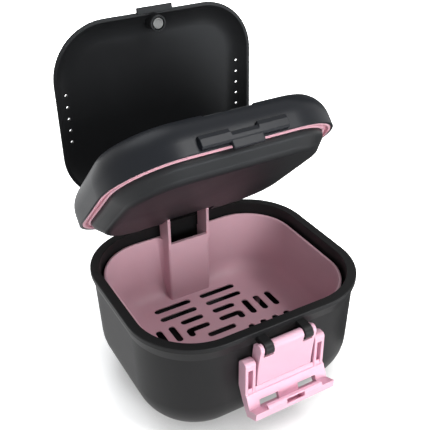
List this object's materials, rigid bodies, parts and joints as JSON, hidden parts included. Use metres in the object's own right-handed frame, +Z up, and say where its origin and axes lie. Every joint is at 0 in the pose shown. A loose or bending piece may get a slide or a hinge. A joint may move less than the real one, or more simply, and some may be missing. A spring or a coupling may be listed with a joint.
{
  "type": "denture case",
  "caption": "Hinged denture case: black tub and lid with a pink drain basket, a shallow lid tray under a hinged cover, a soft lid seal and a pink front clasp.",
  "frame": {"origin": "centre of the tub's outline on its flat underside", "axes": "+X to the right, -Y to the front with the clasp, +Z up"},
  "size_m": [0.096, 0.1094, 0.1386],
  "materials": {
    "base_plastic": "satin black moulded plastic",
    "basket_plastic": "satin pink moulded plastic",
    "pin_steel": "ground steel pin",
    "lid_plastic": "satin black moulded plastic",
    "tray_plastic": "satin black moulded plastic",
    "gasket_rubber": "soft pink rubber",
    "magnet_plating": "bright nickel plating",
    "cover_plastic": "satin black moulded plastic",
    "clasp_plastic": "smooth pink moulded plastic"
  },
  "bodies": {
    "base": {"base_shell": "base_plastic", "strainer_basket": "basket_plastic", "main_hinge_pin": "pin_steel"},
    "lid": {"lid_shell": "lid_plastic", "retainer_tray": "tray_plastic", "lid_gasket": "gasket_rubber", "catch_magnet": "magnet_plating", "cover_hinge_pin": "pin_steel"},
    "cover": {"top_cover": "cover_plastic", "cover_magnet": "magnet_plating"},
    "clasp": {"clasp": "clasp_plastic"}
  },
  "joints": [
    {"name": "lid_hinge", "type": "hinge", "parent": "base", "child": "lid", "pos_m": [0, 0.04553, 0.04888], "axis": [-1, 0, 0], "range_deg": [-44.15, 50]},
    {"name": "cover_hinge", "type": "hinge", "parent": "lid", "child": "cover", "pos_m": [0, 0.04715, 0.06322], "axis": [-1, 0, 0], "range_deg": [-46.94, 4]},
    {"name": "clasp_hinge", "type": "hinge", "parent": "base", "child": "clasp", "pos_m": [0, -0.0455, 0.0435], "axis": [-1, 0, 0], "range_deg": [0, 184.5]}
  ]
}
